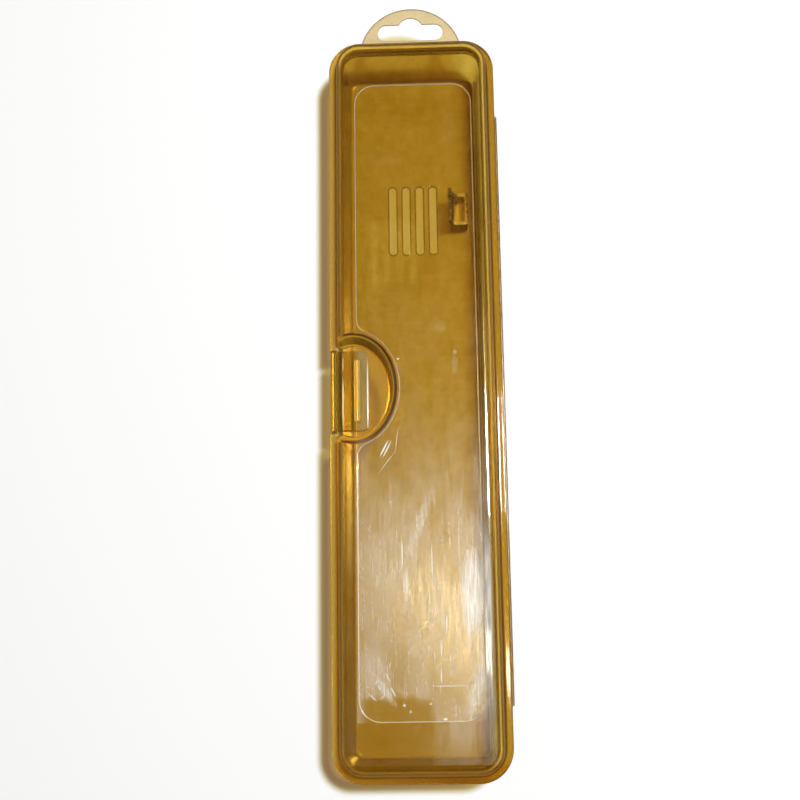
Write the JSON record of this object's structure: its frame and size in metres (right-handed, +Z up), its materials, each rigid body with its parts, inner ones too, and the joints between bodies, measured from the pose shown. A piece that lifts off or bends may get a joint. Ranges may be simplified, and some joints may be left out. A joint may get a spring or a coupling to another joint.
{
  "type": "toothbrush case",
  "caption": "Long flat hinged toothbrush case in translucent amber plastic, with a flip latch in a finger recess, air slots, a neck clip inside and a hang tab.",
  "frame": {"origin": "middle of the tray's flat bottom, midway along and across the rims", "axes": "+Z up, +Y along the case towards the hang tab, +X towards the lid's hinge"},
  "size_m": [0.0486, 0.2211, 0.023],
  "materials": {
    "amber_plastic": "glossy translucent amber, lightly scratched",
    "amber_web": "thin translucent amber, stress whitened where it folds",
    "pale_amber_tab": "thin pale translucent amber"
  },
  "bodies": {
    "base": {"base_tray": "amber_plastic", "brush_neck_clip": "amber_plastic", "hang_tab": "pale_amber_tab", "lid_hinge_web": "amber_web", "latch_hinge_web": "amber_web"},
    "lid": {"lid_shell": "amber_plastic", "lid_catch": "amber_plastic"},
    "latch": {"latch_flap": "amber_plastic"}
  },
  "joints": [
    {"name": "lid_hinge", "type": "hinge", "parent": "base", "child": "lid", "pos_m": [0.0246, -0.0021, 0.0155], "axis": [0, 1, 0], "range_deg": [0, 180], "deforming": ["lid_hinge_web"]},
    {"name": "latch_hinge", "type": "hinge", "parent": "base", "child": "latch", "pos_m": [-0.0236, 0.0003, 0.01517], "axis": [0, -1, 0], "range_deg": [0, 180], "deforming": ["latch_hinge_web"]}
  ]
}
